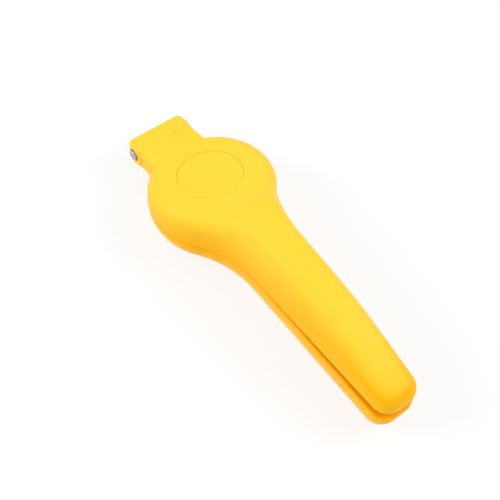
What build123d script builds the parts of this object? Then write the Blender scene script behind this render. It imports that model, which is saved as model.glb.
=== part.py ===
from build123d import *
import math
import os

# A plier-shaped kitchen tool: two moulded halves hinged at one end by a steel pin.
# A chestnut lies in a cup in the lower head, and crossed blades in the upper head score it.
# +X runs from the hinge to the handle tip, +Z up, and the underside stands on z = 0.
# Lengths are in millimetres and angles in degrees.

# Overall size
length = 170.0
head_width = 57.0
lower_depth = 16.0
rim_gap = 0.3

# Plan view of the two halves
head_setback = 43.8
neck_radius = 47.0
neck_width = 22.9
tip_width = 20.3
tip_corner = 7.5
neck_share = 0.34

# Side view of the upper half, heights above the parting plane
head_slope = 13.1
cap_setback = 41.6
cap_height = 12.8
slope_end_setback = 57.0
shoulder_height = 21.8
crown_height = 24.6
grip_height = 22.8
tail_height = 16.3
tip_height = 12.2
shoulder_share = 0.108
crown_share = 0.355
grip_share = 0.619
tail_share = 0.85
tail_fall_angle = 16.0
tip_spread = 4.8
spread_share = 0.232

# Walls and roundings of the two halves
wall = 2.6
draft_angle = 2.0
side_bow = 1.8
bow_steps = 3
top_round = 6.8
inner_round_share = 0.9
bowl_round = 12.0
keel_round = 6.0
tip_round = 9.0
rim_land = 1.4
shoulder_round = 1.0
roof_share = 0.3
rounding_angles = [0, 22, 44, 62, 78, 90]

# Stiffening ribs inside the handles
rib_thickness = 1.6
rib_count = 5
rib_setback = 5.0
rib_start_share = 0.327
rib_end_share = 0.865

# Hinge tab: two ears at the end, a waist, and a sweep into the head
tab_shift = -1.35
ear_width = 28.4
ear_length = 7.6
ear_taper = 3.6
waist_width = 26.8
waist_round = 4.0
root_round = 10.0
root_inset = 4.0
tab_corner = 2.4
tab_edge_round = 1.2
gate_setback = 8.9
gate_side = 6.0
gate_radius = 0.8
gate_depth = 0.35

# Hinge barrel, knuckle and pin
barrel_radius = 5.0
pin_drop = 1.8
pin_radius = 2.5
pin_stand = 0.9
pin_chamfer = 0.3
pin_recess_radius = 3.0
pin_recess_depth = 0.7
knuckle_radius = 4.0
knuckle_width = 18.4
knuckle_side_gap = 0.3
hinge_gap = 0.3
pin_clearance = 0.06

# Round cap let into the top of the head
cap_radius = 14.6
cap_thickness = 1.4
cap_gap = 0.08
cap_edge_chamfer = 0.2
cap_pad_margin = 2.0
cap_peg_radius = 1.5
cap_peg_circle = 10.0
cap_peg_count = 3

# Screws and their bosses, spaced round the head
screw_count = 4
screw_start_angle = 45.0
screw_inset = 3.0
screw_radius = 1.25
screw_head_radius = 2.4
screw_head_depth = 1.2
screw_length = 6.0
screw_tip_length = 1.0
screw_cross_width = 0.6
screw_cross_span = 2.6
screw_cross_depth = 0.7
boss_radius = 2.8

# Inserts screwed into the head: the blade carrier above and the chestnut cup below
insert_side_gap = 3.5
flange_thickness = 2.2
flange_setback = 1.2
insert_wall = 1.8
dome_boss_gap = 0.9
dome_headroom = 1.35
cup_boss_gap = 0.3
cup_floor_share = 0.48
ridge_count = 6
ridge_start_angle = 30.0
ridge_width = 1.3
ridge_height = 1.0
ridge_start_share = 0.31
seat_gap = 0.2
still_gap = 0.05

# Crossed blades
blade_thickness = 1.0
blade_boss_gap = 0.6
blade_reach = 1.9
blade_stand = 0.5
blade_bevel = 0.35

# One overrun for every cut
overrun = 2.0

# Places along and above the tool
hinge_end_x = -length / 2
tip_x = length / 2
head_x = hinge_end_x + head_setback
cap_x = hinge_end_x + cap_setback
slope_end_x = hinge_end_x + slope_end_setback
grip_length = tip_x - slope_end_x
reach = tip_x - head_x
neck_x = head_x + neck_share * reach
spread_x = head_x + spread_share * reach
rib_first_x = head_x + rib_start_share * reach
rib_last_x = head_x + rib_end_share * reach
pin_x = hinge_end_x + barrel_radius
mid_z = lower_depth
pin_z = mid_z - pin_drop
tab_floor_z = pin_z - barrel_radius
upper_rim_z = mid_z + rim_gap / 2
lower_rim_z = mid_z - rim_gap / 2
top_z = mid_z + crown_height + overrun
slope = math.tan(math.radians(head_slope))
slope_cos = math.cos(math.radians(head_slope))

# Radii that follow the head's width, from the walls inwards
flange_radius = head_width / 2 - wall - insert_side_gap
screw_circle = flange_radius - screw_inset
inner_circle = screw_circle - boss_radius
cup_mouth_radius = inner_circle - cup_boss_gap - insert_wall
cup_floor_radius = cup_mouth_radius * cup_floor_share
ridge_start_radius = cup_mouth_radius * ridge_start_share
blade_half_length = inner_circle - blade_boss_gap
dome_foot_radius = inner_circle - dome_boss_gap


def plane_z(x, sunk=0):
    # Height of the head's sloping top plane, or of a plane sunk squarely below it.
    return mid_z + cap_height + (x - cap_x) * slope - sunk / slope_cos


def planform(head_in, side_in, tip_in, z):
    # Plan outline of head, neck and handle as a face at height z, drawn in by three insets.
    radius = head_width / 2 - head_in
    neck = neck_radius + side_in
    root_half = neck_width / 2 - side_in
    tip_half = tip_width / 2 - side_in
    corner = tip_corner * tip_half / (tip_width / 2)

    along = Vector(tip_x - neck_x, tip_half - root_half).normalized()
    across = Vector(-along.Y, along.X)
    centre = Vector(head_x, 0)
    side_start = Vector(neck_x, root_half)
    offset = side_start + across * neck - centre
    dot = offset.dot(along)
    slide = math.sqrt(dot**2 - offset.dot(offset) + (radius + neck) ** 2) - dot
    neck_centre = centre + offset + along * slide
    to_head = (centre - neck_centre).normalized()
    head_point = centre - to_head * radius
    neck_mid = neck_centre + (to_head - across).normalized() * neck
    side_point = neck_centre - across * neck

    run = (tip_x - tip_in - corner - neck_x + across.X * corner) / along.X
    corner_centre = side_start + along * run - across * corner
    corner_mid = corner_centre + (across + Vector(1, 0)).normalized() * corner
    side_end = corner_centre + across * corner
    tip_point = corner_centre + Vector(corner, 0)

    def flip(point):
        return Vector(point.X, -point.Y)

    edges = [
        ThreePointArc(flip(head_point), centre - Vector(radius, 0), head_point),
        ThreePointArc(head_point, neck_mid, side_point),
        Line(side_point, side_end),
        ThreePointArc(side_end, corner_mid, tip_point),
        Line(tip_point, flip(tip_point)),
        ThreePointArc(flip(tip_point), flip(corner_mid), flip(side_end)),
        Line(flip(side_end), flip(side_point)),
        ThreePointArc(flip(side_point), flip(neck_mid), flip(head_point)),
    ]
    return Pos(0, 0, z) * make_face(edges)


def across_tool(face):
    # Solid across the whole tool from a face in its side view.
    return extrude(face, amount=head_width, dir=(0, 1, 0), both=True)


def side_band(sunk, floor_points):
    # Solid across the tool whose top follows the upper half's side view.
    fall = math.radians(tail_fall_angle)
    stations = [
        (shoulder_share, shoulder_height),
        (crown_share, crown_height),
        (grip_share, grip_height),
        (tail_share, tail_height),
    ]
    crest = [Vector(slope_end_x, 0, plane_z(slope_end_x, sunk))]
    for share, height in stations:
        crest.append(Vector(slope_end_x + share * grip_length, 0, mid_z + height - sunk))
    start_dir = Vector(1, 0, slope)
    end_dir = Vector(math.cos(fall), 0, -math.sin(fall))
    curve = Spline(crest, tangents=[start_dir, end_dir])
    tip = Vector(tip_x, 0, mid_z + tip_height - sunk)
    tail = TangentArc(crest[-1], tip, tangent=end_dir)
    outer = tip + (tail % 1) * (overrun / (tail % 1).X)
    ramp_x = hinge_end_x - overrun
    ramp = Vector(ramp_x, 0, plane_z(ramp_x, sunk))
    floor = [outer] + [Vector(x, 0, z) for x, z in floor_points] + [ramp]
    edges = [Line(ramp, crest[0]), curve, tail, Line(tip, outer)]
    edges += [Line(start, end) for start, end in zip(floor[:-1], floor[1:])]
    return across_tool(make_face(edges))


def upper_block(inset, floor_points, rounding):
    # Solid form of the upper head and handle: walls that lean in more and more, rounded top edges.
    draft = math.tan(math.radians(draft_angle))
    flared = inset - overrun * draft
    sections = [planform(flared, flared, flared, mid_z - overrun)]
    for step in range(bow_steps + 1):
        share = step / bow_steps
        rise = (top_z - mid_z) * share
        drawn = inset + rise * draft + side_bow * share**2
        sections.append(planform(drawn, drawn, drawn, mid_z + rise))
    body = (loft(sections) & side_band(inset, floor_points)).solid()
    roof = [face for face in body.faces() if face.normal_at().Z > roof_share]
    rim = []
    for face in roof:
        others = [edge for other in roof if other is not face for edge in other.edges()]
        rim += [edge for edge in face.edges() if not any(edge.is_same(other) for other in others)]
    return fillet(rim, rounding).solid()


def lower_block(inset):
    # Solid form of the lower head and handle: plan outlines that draw in towards a flat foot.
    # Only the outside, whose inset is 0, has a rounded shoulder at its rim.
    depth = lower_depth - rim_land - inset
    sections = [planform(inset, inset, inset, mid_z + overrun if inset else lower_rim_z)]
    for angle in rounding_angles:
        share = 1 - math.cos(math.radians(angle))
        level = mid_z - rim_land - depth * math.sin(math.radians(angle))
        head_in = inset + (bowl_round - inset) * share
        side_in = inset + (keel_round - inset) * share
        tip_in = inset + (tip_round - inset) * share
        sections.append(planform(head_in, side_in, tip_in, level))
    land = loft(sections[:2], ruled=True)
    bowl = loft(sections[1:])
    body = (land + bowl).solid()
    if inset:
        return body
    rim = body.faces().sort_by(Axis.Z)[-1].edges()
    return fillet(rim, shoulder_round).solid()


def tab_plan(low_z, high_z):
    # Hinge tab in plan: ears, waist, and a sweep that runs in under the head's rounded edge.
    ear_half = ear_width / 2
    waist_half = waist_width / 2
    ear_end_x = hinge_end_x + ear_length
    root_radius = head_width / 2 - root_inset
    sweep_y = waist_half + root_round
    sweep_x = head_x - math.sqrt((root_radius + root_round) ** 2 - sweep_y**2)
    to_head = Vector(head_x - sweep_x, -sweep_y).normalized()
    start = Vector(sweep_x, waist_half)
    middle = Vector(sweep_x, sweep_y) + (to_head - Vector(0, 1)).normalized() * root_round
    end = Vector(sweep_x, sweep_y) + to_head * root_round

    def flip(point):
        return Vector(point.X, -point.Y)

    side = [
        Vector(hinge_end_x, ear_half),
        Vector(ear_end_x, ear_half),
        Vector(ear_end_x + ear_taper, waist_half),
        start,
    ]
    far_point = Vector(head_x, end.Y)
    edges = [Line(flip(side[0]), side[0]), Line(far_point, flip(far_point))]
    for turned in (Vector, flip):
        points = [turned(point) for point in side]
        edges += [Line(first, second) for first, second in zip(points[:-1], points[1:])]
        edges.append(ThreePointArc(turned(start), turned(middle), turned(end)))
        edges.append(Line(turned(end), turned(far_point)))
    face = make_face(edges)
    corners = face.vertices().sort_by(Axis.X)
    face = fillet(corners[:2], tab_corner)
    taper_end_x = ear_end_x + ear_taper + still_gap
    bends = face.vertices().filter_by(lambda corner: ear_end_x - still_gap < corner.X < taper_end_x)
    face = fillet(bends, waist_round)
    return Pos(0, tab_shift, low_z) * extrude(face, amount=high_z - low_z)


def cross_rod(radius, half_length):
    # Cylinder about the hinge axis, centred across the tab.
    return Pos(pin_x, tab_shift, pin_z) * Rot(90, 0, 0) * Cylinder(radius, 2 * half_length)


def bar(low, high):
    # Box between two opposite corners.
    size = [top - bottom for bottom, top in zip(low, high)]
    middle = [(top + bottom) / 2 for bottom, top in zip(low, high)]
    return Pos(*middle) * Box(*size)


def tab_bar(start_x, end_x, half, low_z, high_z):
    # Box centred across the tab.
    return bar((start_x, tab_shift - half, low_z), (end_x, tab_shift + half, high_z))


def ring_places(count, radius, start_angle):
    # Places spaced evenly on a circle about the origin.
    angles = [math.radians(start_angle + 360 * index / count) for index in range(count)]
    return [(radius * math.cos(angle), radius * math.sin(angle)) for angle in angles]


def screw_turn(x, y, z, up):
    # Place of a screw whose head is flush at z and whose shank points up or down.
    return Pos(head_x + x, y, z) * Rot(0 if up else 180, 0, 0)


def screw(x, y, z, up):
    # Countersunk cross-head screw.
    shank = screw_length - screw_head_depth - screw_tip_length
    tip_z = screw_length - screw_tip_length / 2
    cone = Pos(0, 0, screw_head_depth / 2) * Cone(screw_head_radius, screw_radius, screw_head_depth)
    body = Pos(0, 0, screw_head_depth + shank / 2) * Cylinder(screw_radius, shank)
    tip = Pos(0, 0, tip_z) * Cone(screw_radius, screw_radius / 2, screw_tip_length)
    cross = Box(screw_cross_span, screw_cross_width, 2 * screw_cross_depth)
    cross += Box(screw_cross_width, screw_cross_span, 2 * screw_cross_depth)
    return screw_turn(x, y, z, up) * (cone + body + tip - cross)


def screw_hole(x, y, z, up):
    # Clearance round a screw: countersink, shank and room for the tip.
    head = screw_head_radius + still_gap
    shank = screw_radius + still_gap
    bore = screw_length + seat_gap
    cone = Pos(0, 0, screw_head_depth / 2) * Cone(head, shank, screw_head_depth)
    body = Pos(0, 0, bore / 2) * Cylinder(shank, bore)
    mouth = Pos(0, 0, -still_gap) * Cylinder(head, 2 * still_gap)
    return screw_turn(x, y, z, up) * (cone + body + mouth)


# The two hollow halves before their fittings
upper_floor = [
    (tip_x + overrun, upper_rim_z + tip_spread * (1 + overrun / (tip_x - spread_x))),
    (spread_x, upper_rim_z),
    (hinge_end_x - overrun, upper_rim_z),
]
cavity_floor = [
    (tip_x + overrun, mid_z - overrun),
    (hinge_end_x - overrun, mid_z - overrun),
]
upper_outer = upper_block(0, upper_floor, top_round)
upper_cavity = upper_block(wall, cavity_floor, (top_round - wall) * inner_round_share)
lower_outer = lower_block(0)
lower_cavity = lower_block(wall)

# Places of the fittings
cap_plane = Plane(
    origin=(cap_x, 0, plane_z(cap_x)),
    x_dir=(slope_cos, 0, slope * slope_cos),
    z_dir=(-slope * slope_cos, 0, slope_cos),
)
carrier_base_z = mid_z + flange_setback
carrier_top_z = carrier_base_z + flange_thickness
cup_top_z = mid_z - flange_setback
cup_under_z = cup_top_z - flange_thickness
screw_places = ring_places(screw_count, screw_circle, screw_start_angle)
peg_places = ring_places(cap_peg_count, cap_peg_circle, 0)

# The dome stands on its foot circle and stays clear of the pad under the cap
ceiling_z = plane_z(head_x, wall + cap_thickness)
dome_rise = ceiling_z - carrier_top_z - dome_headroom
dome_radius = (dome_foot_radius**2 + dome_rise**2) / (2 * dome_rise)
dome_centre_z = carrier_top_z + dome_rise - dome_radius
blade_sphere = dome_radius + blade_stand


def ribs(cavity, low_z, high_z):
    # Cross ribs and one lengthwise rib that fill a cavity between two heights.
    half_rib = rib_thickness / 2
    step = (rib_last_x - rib_first_x) / (rib_count - 1)
    lattice = bar((rib_first_x, -half_rib, low_z), (rib_last_x, half_rib, high_z))
    for index in range(rib_count):
        x = rib_first_x + step * index
        lattice += bar((x - half_rib, -head_width, low_z), (x + half_rib, head_width, high_z))
    return cavity & lattice


def make_upper_tab():
    # Sloping tab with a round ear at each side of the knuckle and a web over it.
    wedge = [
        (hinge_end_x - overrun, 0, mid_z),
        (hinge_end_x - overrun, 0, plane_z(hinge_end_x - overrun)),
        (head_x, 0, plane_z(head_x)),
        (head_x, 0, mid_z),
    ]
    under_plane = across_tool(make_face(Polyline(*wedge, close=True)))
    tab = (tab_plan(upper_rim_z, top_z) & under_plane).solid()
    top_face = tab.faces().filter_by(lambda face: face.normal_at().Z > roof_share)[0]
    far_edge = top_face.edges().sort_by(Axis.X)[-1]
    tab = fillet([edge for edge in top_face.edges() if not edge.is_same(far_edge)], tab_edge_round)

    join_z = upper_rim_z + tab_edge_round
    ears = cross_rod(barrel_radius, ear_width)
    ears += tab_bar(hinge_end_x, pin_x, ear_width, pin_z, join_z)
    ears = ears & tab_plan(0, join_z)
    slot_half = knuckle_width / 2 + knuckle_side_gap
    ears -= tab_bar(hinge_end_x - overrun, head_x, slot_half, 0, upper_rim_z)
    tab += ears
    tab -= cross_rod(knuckle_radius + hinge_gap, slot_half)
    tab -= cross_rod(pin_radius + pin_clearance, ear_width)
    recess = ear_width / 2 - pin_recess_depth
    tab -= cross_rod(pin_recess_radius, ear_width) - tab_bar(hinge_end_x, head_x, recess, 0, top_z)
    gate_x = (hinge_end_x + gate_setback - cap_x) / slope_cos
    tab -= cap_plane * Pos(gate_x, tab_shift + gate_side, 0) * Cylinder(gate_radius, 2 * gate_depth)
    return tab


def make_upper_handle():
    # Upper half: sloping head, arched handle, hinge tab and the seats of cap, carrier and screws.
    shell = upper_outer + make_upper_tab() - upper_cavity
    pad_depth = wall + cap_thickness
    pad = cap_plane * Pos(0, 0, -pad_depth / 2) * Cylinder(cap_radius + cap_pad_margin, pad_depth)
    shell += pad & upper_cavity
    for x, y in screw_places:
        post = Cylinder(boss_radius, top_z - carrier_top_z)
        shell += Pos(head_x + x, y, (carrier_top_z + top_z) / 2) * post & upper_cavity
    shell += ribs(upper_cavity, upper_rim_z + tip_spread + rib_setback, top_z)
    shell -= cap_plane * Cylinder(cap_radius + cap_gap, 2 * cap_thickness)
    for x, y in peg_places:
        shell -= cap_plane * Pos(x, y, -pad_depth / 2) * Cylinder(cap_peg_radius + still_gap, 2 * pad_depth)
    for x, y in screw_places:
        shell -= screw_hole(x, y, carrier_base_z, True)
    blade_room = Pos(head_x, 0, dome_centre_z) * Sphere(blade_sphere + seat_gap)
    blade_well = Pos(head_x, 0, 0) * Cylinder(blade_half_length + still_gap, 2 * top_z)
    return shell - (blade_room & blade_well)


def make_lower_handle():
    # Lower half: round bowl, keeled handle and a tongue that ends in the hinge knuckle.
    tab = tab_plan(tab_floor_z, lower_rim_z)
    floor_face = tab.faces().sort_by(Axis.Z)[0]
    far_edge = floor_face.edges().sort_by(Axis.X)[-1]
    tab = fillet([edge for edge in floor_face.edges() if not edge.is_same(far_edge)], tab_edge_round)
    half = knuckle_width / 2
    tab -= tab_bar(hinge_end_x - overrun, pin_x, ear_width, 0, top_z)
    ear_room = cross_rod(barrel_radius + hinge_gap, ear_width)
    tab -= ear_room - tab_bar(hinge_end_x - overrun, head_x, half, 0, top_z)
    tab += cross_rod(knuckle_radius, half)
    tab -= cross_rod(pin_radius, ear_width)
    shell = lower_outer + tab - lower_cavity
    for x, y in screw_places:
        post = Pos(head_x + x, y, cup_under_z / 2) * Cylinder(boss_radius, cup_under_z)
        shell += post & lower_cavity
    shell += ribs(lower_cavity, 0, lower_rim_z - rib_setback)
    for x, y in screw_places:
        shell -= screw_hole(x, y, cup_top_z, False)
    return shell


def make_top_cap():
    # Flush round cap with press pegs, parallel to the head's sloping top.
    disc = Pos(0, 0, -cap_thickness / 2) * Cylinder(cap_radius, cap_thickness)
    disc = chamfer(disc.edges().group_by(Axis.Z)[-1], cap_edge_chamfer)
    peg_length = cap_thickness + wall
    for x, y in peg_places:
        disc += Pos(x, y, -peg_length / 2) * Cylinder(cap_peg_radius, peg_length)
    return cap_plane * disc


def sphere_reach(radius, z):
    # Distance from the head's axis to a sphere about the dome centre, at height z.
    return math.sqrt(radius**2 - (z - dome_centre_z) ** 2)


def sphere_arc(radius, z):
    # Arc of such a sphere in the XZ plane from its crest down to height z.
    half_angle = math.acos((z - dome_centre_z) / radius) / 2
    middle = (radius * math.sin(half_angle), 0, dome_centre_z + radius * math.cos(half_angle))
    return ThreePointArc((0, 0, dome_centre_z + radius), middle, (sphere_reach(radius, z), 0, z))


def make_blade_carrier():
    # Domed insert with a screwed flange, slotted crosswise for the blades.
    outer = sphere_arc(dome_radius, carrier_top_z)
    inner = sphere_arc(dome_radius - insert_wall, carrier_base_z)
    edges = [
        outer,
        Line(outer @ 1, (flange_radius, 0, carrier_top_z)),
        Line((flange_radius, 0, carrier_top_z), (flange_radius, 0, carrier_base_z)),
        Line((flange_radius, 0, carrier_base_z), inner @ 1),
        inner,
        Line(inner @ 0, outer @ 0),
    ]
    body = Pos(head_x, 0, 0) * revolve(make_face(edges), Axis.Z)
    half = blade_thickness / 2 + still_gap
    slot_end = blade_half_length + still_gap
    body -= bar((head_x - slot_end, -half, mid_z), (head_x + slot_end, half, top_z))
    body -= bar((head_x - half, -slot_end, mid_z), (head_x + half, slot_end, top_z))
    for x, y in screw_places:
        body -= screw_hole(x, y, carrier_base_z, True)
    return body


def make_blades():
    # Two arched blades, bevelled on both sides of the edge and half-lapped where they cross.
    end_z = dome_centre_z + math.sqrt(blade_sphere**2 - blade_half_length**2)
    crest_z = dome_centre_z + blade_sphere
    edge_end_z = carrier_base_z + still_gap
    edge_crest_z = dome_centre_z + dome_radius - insert_wall - blade_reach
    half = blade_half_length
    edges = [
        ThreePointArc((-half, 0, edge_end_z), (0, 0, edge_crest_z), (half, 0, edge_end_z)),
        Line((half, 0, edge_end_z), (half, 0, end_z)),
        ThreePointArc((half, 0, end_z), (0, 0, crest_z), (-half, 0, end_z)),
        Line((-half, 0, end_z), (-half, 0, edge_end_z)),
    ]
    blank = extrude(make_face(edges), amount=blade_thickness / 2, dir=(0, 1, 0), both=True)
    cutting_edges = blank.edges().filter_by(GeomType.CIRCLE).sort_by(Axis.Z)[:2]
    blank = chamfer(cutting_edges, blade_bevel)

    lap_z = (edge_crest_z + crest_z) / 2
    lap = blade_thickness / 2 + still_gap
    above = bar((-lap, -head_width, lap_z - still_gap), (lap, head_width, top_z))
    below = bar((-lap, -head_width, 0), (lap, head_width, lap_z + still_gap))
    long_blade = Pos(head_x, 0, 0) * (blank - above)
    cross_blade = Pos(head_x, 0, 0) * Rot(0, 0, 90) * (blank - below)
    return long_blade, cross_blade


def cup_form(inset):
    # Solid of the cup's hollow about the head's axis, drawn in by an inset.
    rim = cup_mouth_radius - inset
    floor_z = wall + seat_gap + insert_wall + inset
    bend = math.radians(45)
    middle_x = cup_floor_radius + (rim - cup_floor_radius) * math.cos(bend)
    middle_z = cup_top_z - (cup_top_z - floor_z) * math.sin(bend)
    edges = [
        ThreePointArc((rim, 0, cup_top_z), (middle_x, 0, middle_z), (cup_floor_radius, 0, floor_z)),
        Line((cup_floor_radius, 0, floor_z), (0, 0, floor_z)),
        Line((0, 0, floor_z), (0, 0, cup_top_z)),
        Line((0, 0, cup_top_z), (rim, 0, cup_top_z)),
    ]
    return Pos(head_x, 0, 0) * revolve(make_face(edges), Axis.Z)


def make_chestnut_cup():
    # Round cup with a screwed flange and gripping ridges down its wall.
    flange = Pos(head_x, 0, cup_top_z - flange_thickness / 2) * Cylinder(flange_radius, flange_thickness)
    hollow = cup_form(0)
    body = flange + cup_form(-insert_wall) - hollow
    ridge_top_z = cup_top_z - ridge_height
    half = ridge_width / 2
    plate = bar((ridge_start_radius, -half, 0), (cup_mouth_radius, half, ridge_top_z))
    angles = [ridge_start_angle + 360 * index / ridge_count for index in range(ridge_count)]
    plates = Compound([Pos(head_x, 0, 0) * Rot(0, 0, angle) * plate for angle in angles])
    body += (hollow - cup_form(ridge_height)) & plates
    for x, y in screw_places:
        body -= screw_hole(x, y, cup_top_z, False)
    return body


def make_hinge_pin():
    # Plain steel pin, pressed into the knuckle and standing proud of both ears.
    rod = cross_rod(pin_radius, ear_width / 2 + pin_stand)
    return chamfer(rod.edges().filter_by(GeomType.CIRCLE), pin_chamfer)


def make_all():
    # Every node's name and shape.
    long_blade, cross_blade = make_blades()
    return {
        "upper_handle": make_upper_handle(),
        "lower_handle": make_lower_handle(),
        "hinge_pin": make_hinge_pin(),
        "top_cap": make_top_cap(),
        "blade_carrier": make_blade_carrier(),
        "long_blade": long_blade,
        "cross_blade": cross_blade,
        "chestnut_cup": make_chestnut_cup(),
        "carrier_screws": Compound([screw(x, y, carrier_base_z, True) for x, y in screw_places]),
        "cup_screws": Compound([screw(x, y, cup_top_z, False) for x, y in screw_places]),
    }


os.makedirs("parts", exist_ok=True)
for name, shape in make_all().items():
    export_step(shape, f"parts/{name}.step")
    print(name, round(shape.volume))
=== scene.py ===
import math

import bpy
from mathutils import Matrix, Vector

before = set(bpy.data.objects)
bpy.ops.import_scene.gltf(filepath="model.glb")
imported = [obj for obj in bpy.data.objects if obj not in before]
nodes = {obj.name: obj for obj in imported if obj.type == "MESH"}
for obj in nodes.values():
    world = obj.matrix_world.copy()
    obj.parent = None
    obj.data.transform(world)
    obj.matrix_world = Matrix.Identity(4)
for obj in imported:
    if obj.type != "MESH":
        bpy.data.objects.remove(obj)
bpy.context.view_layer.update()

# Lengths are in metres and angles in degrees, unless a name says otherwise.

# Camera: where it looks, from which side and how far
look_at = Vector((-0.0085, -0.0038, 0.016))
view_azimuth = -43.13
view_elevation = 58.36
view_distance = 0.4019
view_roll = 6.83
lens_mm = 67.62
sensor_mm = 36.0
near_clip = 0.01
far_clip = 20

# Two soft lamps, turned to where the camera looks
lamp_distance = 1.0
left_azimuth = -121
left_elevation = 36
left_size = 0.4
left_watts = 4.4
right_azimuth = 55
right_elevation = 46
right_size = 0.5
right_watts = 4.1

# Light from all round, and the white that the camera sees there
world_strength = 0.62
backdrop_color = (1.0, 1.0, 1.0)
backdrop_strength = 1.0

# Floor. The glow is the share of backdrop white in what the camera sees of it. It rises to 1
# between the two fade distances from the middle.
floor_half = 1.6
floor_gap = 0.0002
floor_color = (0.93, 0.93, 0.93)
floor_roughness = 0.9
floor_specular_level = 0.1
floor_glow_share = 0.78
floor_fade_start = 0.14
floor_fade_end = 0.6

# Colours in linear light. Plastic has its own, one of painted shade for the walls and one of
# painted shade for the gap where the rims meet.
shell_color = (0.99, 0.66, 0.048)
shell_shade_color = (1.0, 0.485, 0.001)
shell_gap_shade_color = (1.0, 0.41, 0.001)
insert_color = (0.84, 0.82, 0.76)
insert_shade_color = (0.80, 0.78, 0.71)
insert_gap_shade_color = (0.80, 0.75, 0.66)
blade_color = (0.62, 0.63, 0.65)
pin_color = (0.55, 0.53, 0.56)
screw_color = (0.5, 0.5, 0.51)

# Heights of the foot, of the parting line and of the crest, and the share of painted shade at the
# first and the last, where the parting line has 1
foot_height = 0.002
parting_height = 0.016
crest_height = 0.040
foot_shade_share = 0.3
crest_shade_share = 0.1

# How far the crest sinks for each metre towards the tip
tip_drop_share = 0.19

# Upward part of the normal on a wall with the full painted shade, and on a level face with none
wall_normal = 0.1
level_normal = 1.0

# Places along the tool between which the solid hinge tab runs in under the head, and the share of
# the painted shade that the tab keeps
tab_x = -0.068
head_edge_x = -0.058
tab_shade_share = 0.35

# Places along the handle between which more shade is painted on its walls towards the tip, and by
# how much
grip_x = 0.045
tip_x = 0.08
tip_extra_shade_share = 0.6

# Places between which shade is painted deeper on the rounded end, and by how much
end_start_x = 0.069
end_x = 0.082
end_shade_share = 0.45

# Bands of painted shade in the gap between the halves, full within the near distance of a height
# and gone at the far one. The first lies about the parting line. The second lies about the height
# halfway up the upper rim's rise towards the tip, only on faces that look down, where shade falls
# under it.
parting_near = 0.0003
parting_far = 0.001
tip_rim_height = 0.0185
tip_rim_near = 0.0035
tip_rim_far = 0.0045
downward_normal = -0.9
sideways_normal = -0.3

# Moulded plastic. A margin is what is cut from each end of the noise's range.
shell_roughness = 0.38
insert_roughness = 0.42
plastic_ior = 1.5
plastic_specular_level = 0.08
scatter_weight = 0.25
scatter_radius = (1.0, 1.0, 1.0)
scatter_depth = 0.001
drift_scale = 26
drift_detail = 3
drift_margin = 0.35
drift_depth_share = 0.14
patch_scale = 180
patch_detail = 4
patch_margin = 0.3
patch_smoother = 0.04
patch_rougher = 0.06
grain_scale = 2600
grain_detail = 2
grain_height = 0.00002
grain_strength = 0.35

# Drawn or ground steel. Its lines run along the axis on which the noise is stretched.
blade_roughness = 0.28
pin_roughness = 0.36
screw_roughness = 0.32
line_scale = 900
line_detail = 3
line_margin = 0.25
line_dark_share = 0.72
line_smoother = 0.08
line_rougher = 0.12
line_height = 0.00001
line_strength = 0.3
even = (1, 1, 1)
long_blade_lines = (0.06, 1, 1)
cross_blade_lines = (1, 0.06, 1)
pin_lines = (1, 0.05, 1)


def new_object(name, data):
    # Object linked to the scene.
    item = bpy.data.objects.new(name, data)
    bpy.context.scene.collection.objects.link(item)
    return item


def new_material(name):
    # Empty node material with a shader joined to its output.
    material = bpy.data.materials.new(name)
    material.use_nodes = True
    tree = material.node_tree
    tree.nodes.clear()
    output = tree.nodes.new("ShaderNodeOutputMaterial")
    shader = tree.nodes.new("ShaderNodeBsdfPrincipled")
    tree.links.new(shader.outputs["BSDF"], output.inputs["Surface"])
    return material, tree, shader


def noise(tree, scale, detail, stretch=even):
    # Noise in the object's own coordinates, which are metres.
    coords = tree.nodes.new("ShaderNodeTexCoord")
    mapping = tree.nodes.new("ShaderNodeMapping")
    mapping.inputs["Scale"].default_value = stretch
    texture = tree.nodes.new("ShaderNodeTexNoise")
    texture.inputs["Scale"].default_value = scale
    texture.inputs["Detail"].default_value = detail
    tree.links.new(coords.outputs["Object"], mapping.inputs["Vector"])
    tree.links.new(mapping.outputs["Vector"], texture.inputs["Vector"])
    return texture.outputs["Fac"]


def ramp(tree, value, low, high, low_out, high_out):
    # The value rescaled from one range to another, held at its ends.
    node = tree.nodes.new("ShaderNodeMapRange")
    node.inputs["From Min"].default_value = low
    node.inputs["From Max"].default_value = high
    node.inputs["To Min"].default_value = low_out
    node.inputs["To Max"].default_value = high_out
    tree.links.new(value, node.inputs["Value"])
    return node.outputs["Result"]


def combine(tree, operation, first, second):
    # Result of one operation on two values, each a decimal number or the output of another node,
    # held from 0 to 1.
    node = tree.nodes.new("ShaderNodeMath")
    node.operation = operation
    node.use_clamp = True
    for place, value in enumerate((first, second)):
        if isinstance(value, float):
            node.inputs[place].default_value = value
        else:
            tree.links.new(value, node.inputs[place])
    return node.outputs["Value"]


def mix_color(tree, factor, first, second):
    # The first may be a colour or the output of another node.
    node = tree.nodes.new("ShaderNodeMix")
    node.data_type = "RGBA"
    if isinstance(first, tuple):
        node.inputs["A"].default_value = (*first, 1)
    else:
        tree.links.new(first, node.inputs["A"])
    node.inputs["B"].default_value = (*second, 1)
    tree.links.new(factor, node.inputs["Factor"])
    return node.outputs["Result"]


def mix_shaders(tree, factor, first, second, output):
    # Sends the mix of two shaders to the output.
    node = tree.nodes.new("ShaderNodeMixShader")
    tree.links.new(factor, node.inputs["Fac"])
    tree.links.new(first, node.inputs[1])
    tree.links.new(second, node.inputs[2])
    tree.links.new(node.outputs["Shader"], output.inputs["Surface"])


def bump(tree, shader, height, distance, strength):
    node = tree.nodes.new("ShaderNodeBump")
    node.inputs["Distance"].default_value = distance
    node.inputs["Strength"].default_value = strength
    tree.links.new(height, node.inputs["Height"])
    tree.links.new(node.outputs["Normal"], shader.inputs["Normal"])


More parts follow.
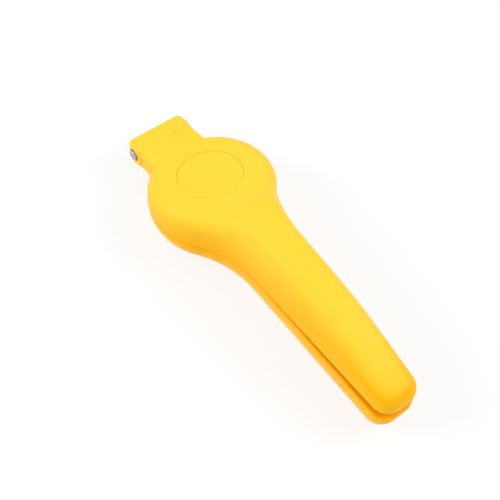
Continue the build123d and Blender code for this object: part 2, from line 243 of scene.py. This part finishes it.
def measure(tree, coordinate, axis):
    # One axis of the place on the object, or of its surface normal.
    coords = tree.nodes.new("ShaderNodeTexCoord")
    split = tree.nodes.new("ShaderNodeSeparateXYZ")
    tree.links.new(coords.outputs[coordinate], split.inputs["Vector"])
    return split.outputs[axis]


def band(tree, height, near, far):
    # 1 within one distance of a height, falling to 0 at a longer one.
    above = combine(tree, "SUBTRACT", measure(tree, "Object", "Z"), height)
    below = combine(tree, "SUBTRACT", height, measure(tree, "Object", "Z"))
    return ramp(tree, combine(tree, "ADD", above, below), near, far, 1, 0)


def shade_reach_share(tree):
    # How far the painted shade reaches: 1 on the hollow shells and low on the solid hinge tab,
    # whose walls get less painted shade.
    return ramp(tree, measure(tree, "Object", "X"), tab_x, head_edge_x, tab_shade_share, 1)


def gap_shade_share(tree):
    # Painted shade in the gap: 1 at the two rims that meet, also where the upper one rises towards
    # the tip and looks down.
    meeting = band(tree, parting_height, parting_near, parting_far)
    normal = measure(tree, "Normal", "Z")
    downward = ramp(tree, normal, downward_normal, sideways_normal, 1, 0)
    rise = band(tree, tip_rim_height, tip_rim_near, tip_rim_far)
    rising = combine(tree, "MULTIPLY", downward, rise)
    return combine(tree, "MULTIPLY", combine(tree, "MAXIMUM", meeting, rising), shade_reach_share(tree))


def wall_shade_share(tree):
    # Painted shade: near 1 on walls by the parting line, less above and below it, and 0 on faces
    # that look up. The crest sinks towards the tip, and the heights sink with it.
    upright = ramp(tree, measure(tree, "Normal", "Z"), wall_normal, level_normal, 1, 0)
    drop = combine(tree, "MULTIPLY", measure(tree, "Object", "X"), tip_drop_share)
    height = measure(tree, "Object", "Z")
    raised = combine(tree, "SUBTRACT", height, drop)
    above = ramp(tree, raised, parting_height, crest_height, 1, crest_shade_share)
    below = ramp(tree, height, foot_height, parting_height, foot_shade_share, 1)
    level = combine(tree, "MINIMUM", above, below)
    return combine(tree, "MULTIPLY", combine(tree, "MULTIPLY", upright, level), shade_reach_share(tree))


def painted_shade_share(tree):
    # The painted shade of the walls, more of it towards the tip, and painted shade on the rounded
    # end.
    wall = wall_shade_share(tree)
    place = measure(tree, "Object", "X")
    near_tip = ramp(tree, place, grip_x, tip_x, 0, tip_extra_shade_share)
    end = ramp(tree, place, end_start_x, end_x, 0, end_shade_share)
    extra = combine(tree, "ADD", combine(tree, "MULTIPLY", wall, near_tip), end)
    return combine(tree, "ADD", wall, extra)


def moulded_plastic(name, light, shade_tone, gap_shade_tone, roughness):
    # Satin moulded plastic. Shade is painted into its colour, deeper on the walls and in the gap
    # where the rims meet, and its tone drifts slowly at random. It has a fine spark-eroded grain
    # and patchy gloss.
    material, tree, shader = new_material(name)
    slow = noise(tree, drift_scale, drift_detail)
    drift = ramp(tree, slow, drift_margin, 1 - drift_margin, 0, drift_depth_share)
    # Shade painted on the walls, with the slow random drift of tone
    shaded_color = mix_color(tree, combine(tree, "ADD", painted_shade_share(tree), drift), light, shade_tone)
    # Shade painted in the gap where the rims meet
    color = mix_color(tree, gap_shade_share(tree), shaded_color, gap_shade_tone)
    tree.links.new(color, shader.inputs["Base Color"])
    patches = noise(tree, patch_scale, patch_detail)
    smoothest = roughness - patch_smoother
    roughest = roughness + patch_rougher
    gloss = ramp(tree, patches, patch_margin, 1 - patch_margin, smoothest, roughest)
    tree.links.new(gloss, shader.inputs["Roughness"])
    bump(tree, shader, noise(tree, grain_scale, grain_detail), grain_height, grain_strength)
    shader.inputs["IOR"].default_value = plastic_ior
    shader.inputs["Specular IOR Level"].default_value = plastic_specular_level
    shader.inputs["Subsurface Weight"].default_value = scatter_weight
    shader.inputs["Subsurface Radius"].default_value = scatter_radius
    shader.inputs["Subsurface Scale"].default_value = scatter_depth
    return material


def drawn_steel(name, color, roughness, stretch):
    # Steel with fine lines left by drawing or grinding along one direction.
    material, tree, shader = new_material(name)
    lines = noise(tree, line_scale, line_detail, stretch)
    dark = tuple(channel * line_dark_share for channel in color)
    tree.links.new(mix_color(tree, lines, dark, color), shader.inputs["Base Color"])
    smoothest = roughness - line_smoother
    roughest = roughness + line_rougher
    gloss = ramp(tree, lines, line_margin, 1 - line_margin, smoothest, roughest)
    tree.links.new(gloss, shader.inputs["Roughness"])
    bump(tree, shader, lines, line_height, line_strength)
    shader.inputs["Metallic"].default_value = 1.0
    return material


def dress(material, *names):
    # Gives CAD nodes their material.
    for name in names:
        mesh = nodes[name].data
        mesh.materials.clear()
        mesh.materials.append(material)


def add_materials():
    # Each plastic's own colour, then its colours of painted shade on the walls and in the gap
    shell_colors = (shell_color, shell_shade_color, shell_gap_shade_color)
    insert_colors = (insert_color, insert_shade_color, insert_gap_shade_color)
    shell = moulded_plastic("shell_plastic", *shell_colors, shell_roughness)
    insert = moulded_plastic("insert_plastic", *insert_colors, insert_roughness)
    long_steel = drawn_steel("long_blade_steel", blade_color, blade_roughness, long_blade_lines)
    cross_steel = drawn_steel("cross_blade_steel", blade_color, blade_roughness, cross_blade_lines)
    pin_steel = drawn_steel("pin_steel", pin_color, pin_roughness, pin_lines)
    screw_steel = drawn_steel("screw_steel", screw_color, screw_roughness, even)
    dress(shell, "upper_handle", "lower_handle", "top_cap")
    dress(insert, "blade_carrier", "chestnut_cup")
    dress(long_steel, "long_blade")
    dress(cross_steel, "cross_blade")
    dress(pin_steel, "hinge_pin")
    dress(screw_steel, "carrier_screws", "cup_screws")


def direction(azimuth, elevation):
    # Unit vector from an azimuth about Z, counted from +X, and an elevation.
    flat = math.cos(math.radians(elevation))
    turn = math.radians(azimuth)
    return Vector((flat * math.cos(turn), flat * math.sin(turn), math.sin(math.radians(elevation))))


def aim(item, azimuth, elevation, distance, roll=0):
    # Puts a camera or lamp on one side of the tool, turned to where the camera looks.
    away = direction(azimuth, elevation)
    place = Matrix.Translation(look_at + away * distance)
    turn = away.to_track_quat("Z", "Y").to_matrix().to_4x4()
    item.matrix_world = place @ turn @ Matrix.Rotation(math.radians(roll), 4, "Z")


def add_camera():
    data = bpy.data.cameras.new("camera")
    data.lens = lens_mm
    data.sensor_width = sensor_mm
    data.clip_start = near_clip
    data.clip_end = far_clip
    camera = new_object("camera", data)
    aim(camera, view_azimuth, view_elevation, view_distance, view_roll)
    bpy.context.scene.camera = camera


def add_lamp(name, azimuth, elevation, size, watts):
    data = bpy.data.lights.new(name, "AREA")
    data.size = size
    data.energy = watts
    aim(new_object(name, data), azimuth, elevation, lamp_distance)


def seen_rays(tree):
    # 1 for rays from the camera, a mirror or glass, and 0 for the rays that light the object.
    path = tree.nodes.new("ShaderNodeLightPath").outputs
    direct = combine(tree, "MAXIMUM", path["Is Camera Ray"], path["Is Glossy Ray"])
    return combine(tree, "MAXIMUM", direct, path["Is Transmission Ray"])


def add_world():
    world = bpy.data.worlds.new("studio")
    world.use_nodes = True
    tree = world.node_tree
    tree.nodes.clear()
    output = tree.nodes.new("ShaderNodeOutputWorld")
    layers = []
    for strength in (world_strength, backdrop_strength):
        layer = tree.nodes.new("ShaderNodeBackground")
        layer.inputs["Color"].default_value = (*backdrop_color, 1)
        layer.inputs["Strength"].default_value = strength
        layers.append(layer.outputs["Background"])
    mix_shaders(tree, seen_rays(tree), *layers, output)
    bpy.context.scene.world = world


def floor_paper():
    # White paper. What the camera sees of it is part backdrop white, so its shadow stays faint,
    # and it turns to backdrop white away from the object, so no horizon shows.
    material, tree, shader = new_material("floor_paper")
    output = shader.outputs["BSDF"].links[0].to_node
    shader.inputs["Base Color"].default_value = (*floor_color, 1)
    shader.inputs["Roughness"].default_value = floor_roughness
    shader.inputs["Specular IOR Level"].default_value = floor_specular_level
    glow = tree.nodes.new("ShaderNodeEmission")
    glow.inputs["Color"].default_value = (*backdrop_color, 1)
    glow.inputs["Strength"].default_value = backdrop_strength
    coords = tree.nodes.new("ShaderNodeTexCoord")
    distance = tree.nodes.new("ShaderNodeVectorMath")
    distance.operation = "LENGTH"
    tree.links.new(coords.outputs["Object"], distance.inputs[0])
    away = distance.outputs["Value"]
    share = ramp(tree, away, floor_fade_start, floor_fade_end, floor_glow_share, 1)
    factor = combine(tree, "MULTIPLY", seen_rays(tree), share)
    mix_shaders(tree, factor, shader.outputs["BSDF"], glow.outputs["Emission"], output)
    return material


def add_floor():
    mesh = bpy.data.meshes.new("floor")
    ends = (-floor_half, floor_half)
    corners = [(x, y, -floor_gap) for y in ends for x in ends]
    mesh.from_pydata(corners, [], [(0, 1, 3, 2)])
    mesh.materials.append(floor_paper())
    new_object("floor", mesh)


bpy.context.scene.view_settings.view_transform = "Standard"
add_materials()
add_floor()
add_world()
add_lamp("left_softbox", left_azimuth, left_elevation, left_size, left_watts)
add_lamp("right_softbox", right_azimuth, right_elevation, right_size, right_watts)
add_camera()
